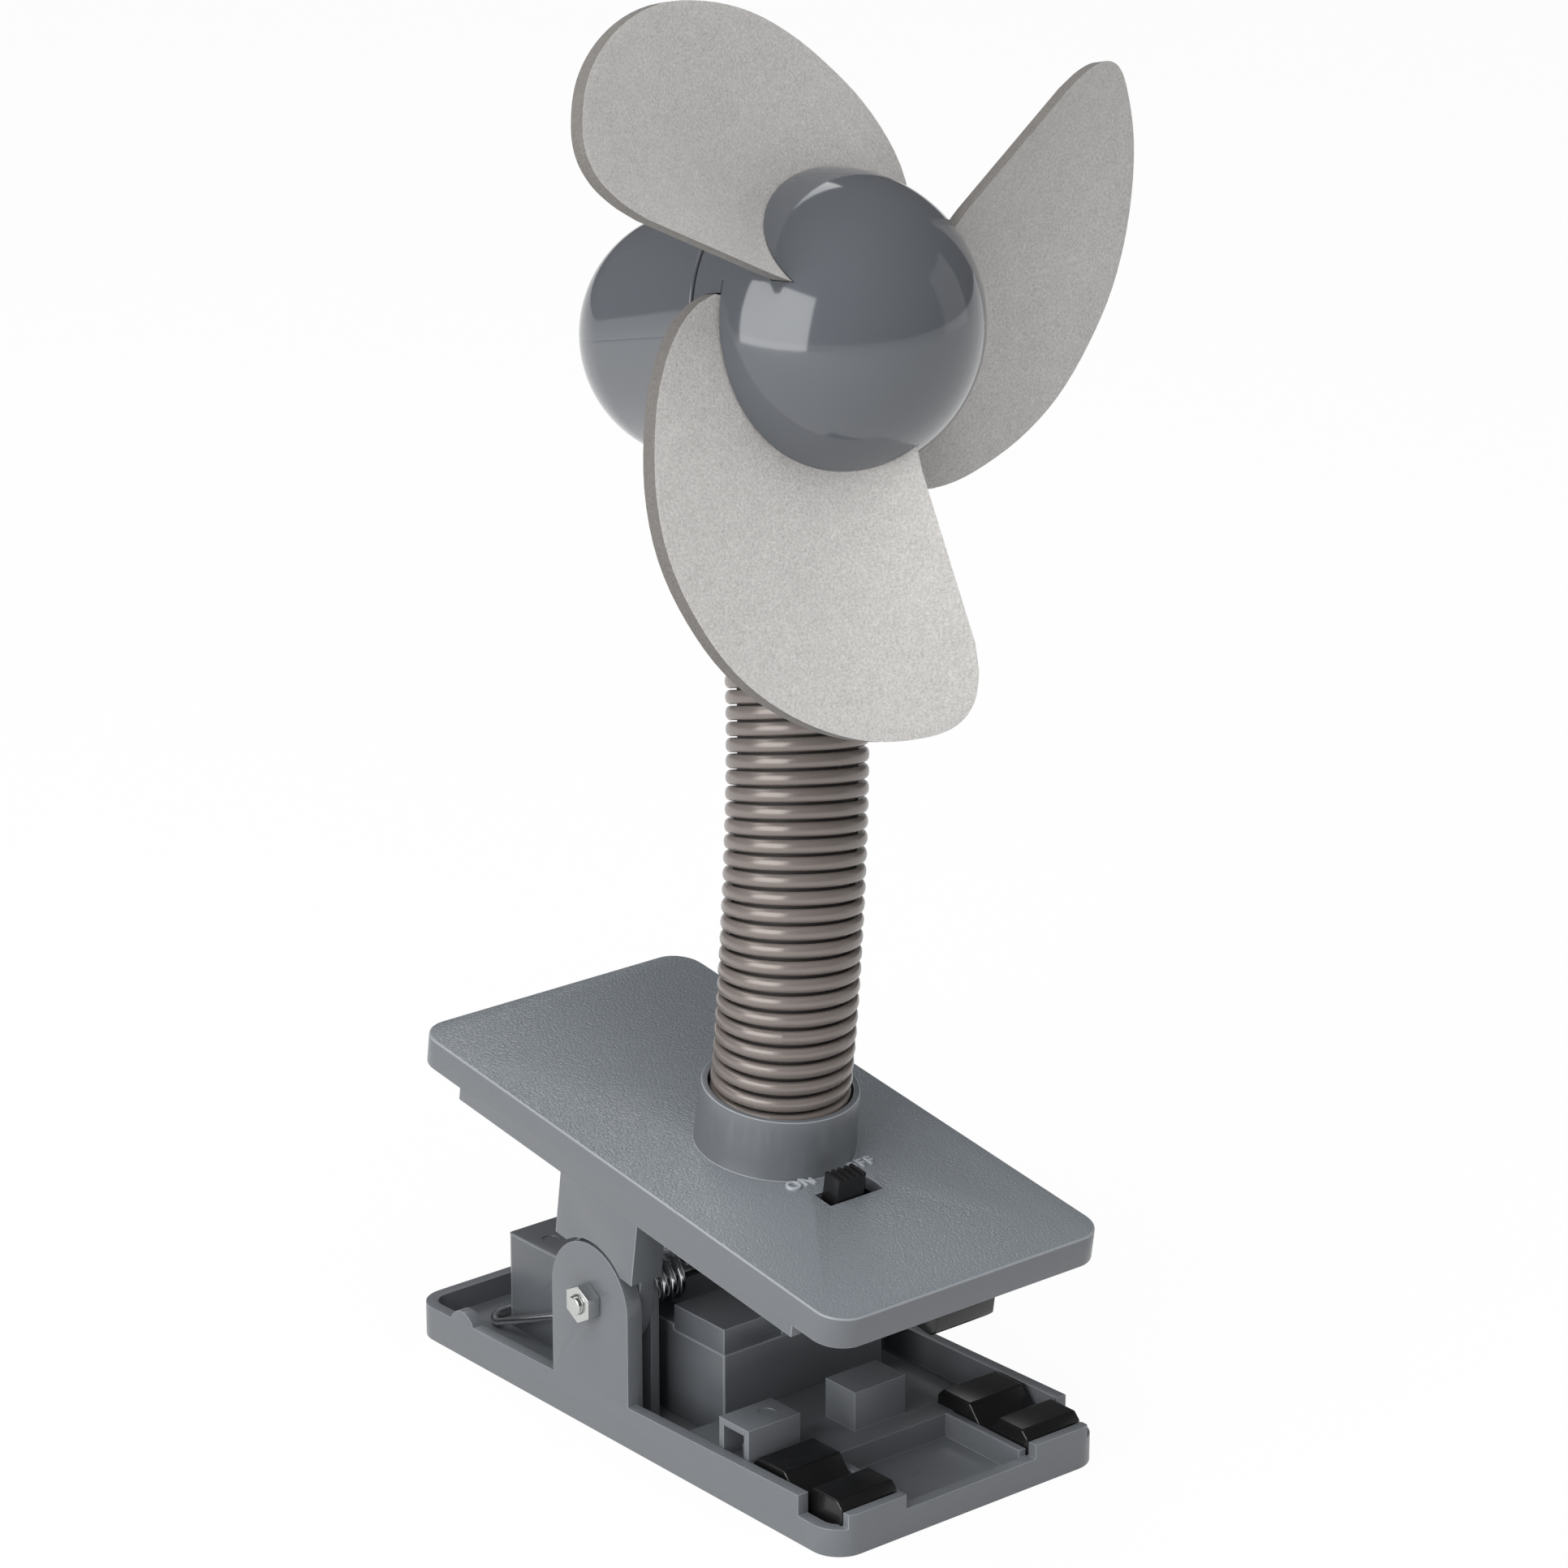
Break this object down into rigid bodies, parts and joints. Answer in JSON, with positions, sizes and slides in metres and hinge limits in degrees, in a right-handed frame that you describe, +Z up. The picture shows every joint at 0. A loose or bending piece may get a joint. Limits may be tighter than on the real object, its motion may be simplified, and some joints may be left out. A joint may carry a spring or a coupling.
{
  "type": "clip-on fan",
  "caption": "Battery clip fan: a sprung two-jaw clip with a battery bay carries a wound bendable neck, a round motor housing and soft foam blades on a domed hub.",
  "frame": {"origin": "on the underside of the lower jaw's tray, halfway across its width and straight below the hinge bolt", "axes": "+Z up, +Y towards the clip's rear grips, -Y towards the open mouth and the way that the fan blows, +X along the hinge bolt towards its head"},
  "size_m": [0.1114, 0.1058, 0.223],
  "materials": {
    "clip_plastic": "slate grey injection-moulded plastic with a fine leather grain on the upper jaw's top",
    "gloss_plastic": "polished slate grey plastic",
    "neck_plastic": "satin warm grey wound plastic",
    "core_plastic": "dark plain plastic, out of sight",
    "pad_rubber": "black satin rubber",
    "switch_plastic": "black satin plastic",
    "foam": "pale grey fine-celled foam with a speckled matt skin",
    "zinc_steel": "zinc-plated steel",
    "spring_steel": "bright drawn spring wire",
    "motor_steel": "plated pressed steel",
    "contact_metal": "nickel-plated spring sheet",
    "cell_shell": "plain coated steel can without lettering",
    "motor_cap_plastic": "natural white plastic",
    "copper": "tinned copper alloy"
  },
  "bodies": {
    "lower_clip": {"lower_jaw": "clip_plastic", "battery_box": "clip_plastic", "battery_box_lid": "clip_plastic", "battery_door": "clip_plastic", "door_screw": "zinc_steel", "battery_cells": "cell_shell", "battery_contacts": "contact_metal", "lower_pad_left": "pad_rubber", "lower_pad_right": "pad_rubber", "pivot_bolt": "zinc_steel", "pivot_nut": "zinc_steel", "torsion_spring": "spring_steel"},
    "upper_clip": {"upper_jaw": "clip_plastic", "upper_pad": "pad_rubber", "switch_body": "switch_plastic", "switch_pins": "contact_metal", "neck_core_0": "core_plastic", "neck_winding_0": "neck_plastic"},
    "knob": {"switch_knob": "switch_plastic"},
    "neck_link_1": {"neck_core_1": "core_plastic", "neck_winding_1": "neck_plastic"},
    "neck_link_2": {"neck_core_2": "core_plastic", "neck_winding_2": "neck_plastic"},
    "neck_link_3": {"neck_core_3": "core_plastic", "neck_winding_3": "neck_plastic"},
    "neck_link_4": {"neck_core_4": "core_plastic", "neck_winding_4": "neck_plastic"},
    "neck_link_5": {"neck_core_5": "core_plastic", "neck_winding_5": "neck_plastic"},
    "neck_link_6": {"neck_core_6": "core_plastic", "neck_winding_6": "neck_plastic"},
    "neck_link_7": {"neck_core_7": "core_plastic", "neck_winding_7": "neck_plastic"},
    "head": {"neck_core_8": "core_plastic", "neck_winding_8": "neck_plastic", "housing_upper": "gloss_plastic", "housing_lower": "gloss_plastic", "motor_can": "motor_steel", "motor_end_cap": "motor_cap_plastic", "motor_terminals": "copper"},
    "rotor": {"motor_shaft": "zinc_steel", "blade_carrier": "gloss_plastic", "hub_cap": "gloss_plastic", "blade_1": "foam", "blade_2": "foam", "blade_3": "foam"}
  },
  "joints": [
    {"name": "jaw_hinge", "type": "hinge", "parent": "lower_clip", "child": "upper_clip", "pos_m": [0, 0, 0.0218], "axis": [-1, 0, 0], "range_deg": [0, 40], "stiffness_Nm_per_rad": 0.3, "springref_deg": -51.57, "deforming": ["torsion_spring"]},
    {"name": "switch_slide", "type": "slide", "parent": "upper_clip", "child": "knob", "axis": [1, 0, 0], "range_m": [0, 0.0023]},
    {"name": "neck_nod_1", "type": "hinge", "parent": "upper_clip", "child": "neck_link_1", "pos_m": [0.0001, -0.01438, 0.06105], "axis": [0.9994, 0.0027, -0.0356], "range_deg": [-9, 9], "deforming": ["neck_winding_1", "neck_winding_0"]},
    {"name": "neck_sway_2", "type": "hinge", "parent": "neck_link_1", "child": "neck_link_2", "pos_m": [0.00091, -0.01462, 0.07258], "axis": [0, 0.9995, -0.031], "range_deg": [-9, 9], "deforming": ["neck_winding_2"]},
    {"name": "neck_nod_3", "type": "hinge", "parent": "neck_link_2", "child": "neck_link_3", "pos_m": [0.0024, -0.01377, 0.08403], "axis": [0.9884, -0.0171, -0.1508], "range_deg": [-9, 9], "deforming": ["neck_winding_3"]},
    {"name": "neck_sway_4", "type": "hinge", "parent": "neck_link_3", "child": "neck_link_4", "pos_m": [0.00433, -0.01214, 0.09532], "axis": [0, 0.9853, -0.1707], "range_deg": [-9, 9], "deforming": ["neck_winding_4"]},
    {"name": "neck_nod_5", "type": "hinge", "parent": "neck_link_4", "child": "neck_link_5", "pos_m": [0.00643, -0.00996, 0.10649], "axis": [0.9839, -0.0374, -0.1748], "range_deg": [-9, 9], "deforming": ["neck_winding_5"]},
    {"name": "neck_sway_6", "type": "hinge", "parent": "neck_link_5", "child": "neck_link_6", "pos_m": [0.00837, -0.00743, 0.11762], "axis": [0, 0.9726, -0.2324], "range_deg": [-9, 9], "deforming": ["neck_winding_6"]},
    {"name": "neck_nod_7", "type": "hinge", "parent": "neck_link_6", "child": "neck_link_7", "pos_m": [0.00985, -0.00468, 0.12876], "axis": [0.9948, -0.0248, -0.0986], "range_deg": [-9, 9], "deforming": ["neck_winding_7"]},
    {"name": "neck_sway_8", "type": "hinge", "parent": "neck_link_7", "child": "head", "pos_m": [0.01066, -0.00185, 0.13995], "axis": [0, 0.9691, -0.2468], "range_deg": [-9, 9], "deforming": ["neck_winding_8"]},
    {"name": "fan_spin", "type": "hinge", "parent": "head", "child": "rotor", "pos_m": [0.01159, -0.01138, 0.17333], "axis": [0.0471, -0.9679, 0.2467], "continuous": true}
  ],
  "couplings": [
    {"joint": "neck_nod_3", "follows": "neck_nod_1", "ratio": 1},
    {"joint": "neck_sway_4", "follows": "neck_sway_2", "ratio": 1},
    {"joint": "neck_nod_5", "follows": "neck_nod_1", "ratio": 1},
    {"joint": "neck_sway_6", "follows": "neck_sway_2", "ratio": 1},
    {"joint": "neck_nod_7", "follows": "neck_nod_1", "ratio": 1},
    {"joint": "neck_sway_8", "follows": "neck_sway_2", "ratio": 1}
  ]
}
